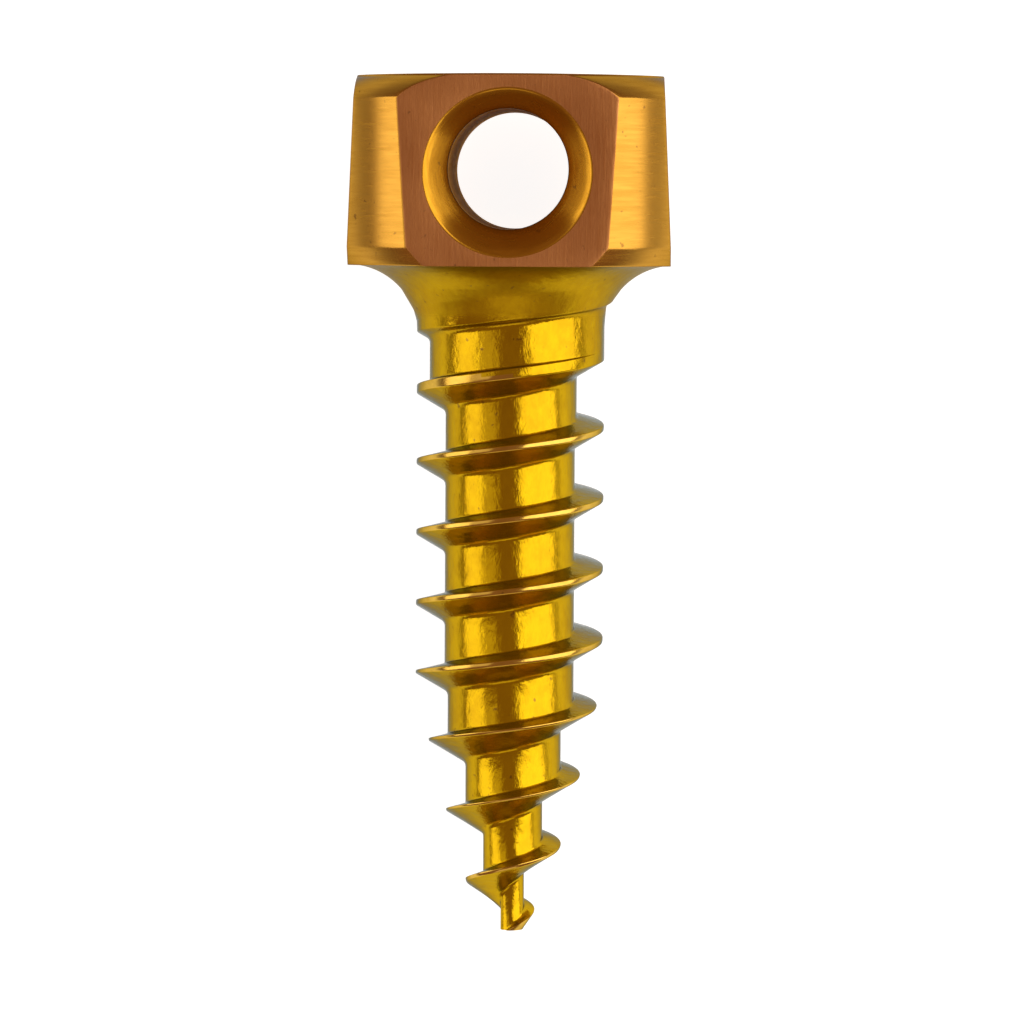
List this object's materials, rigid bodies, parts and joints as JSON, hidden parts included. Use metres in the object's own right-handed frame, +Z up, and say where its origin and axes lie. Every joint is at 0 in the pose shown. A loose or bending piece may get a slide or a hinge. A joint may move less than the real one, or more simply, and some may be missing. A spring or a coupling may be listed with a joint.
{
  "type": "bone anchor screw",
  "caption": "Self-tapping bone anchor screw with a square external head, a countersunk suture hole across it, a flared neck and a coarse right-hand thread.",
  "frame": {"origin": "centre of the footprint of the resting screw, on the ground", "axes": "+Z up; the screw lies as it comes to rest, its head towards +Y and its tip towards -Y, with the cross hole facing up; its axis rises towards the head by about 9 degrees"},
  "size_m": [0.006, 0.0162, 0.0063],
  "materials": {
    "anodised_titanium": "satin"
  },
  "bodies": {
    "root": {"bone_anchor_screw": "anodised_titanium"}
  },
  "joints": []
}
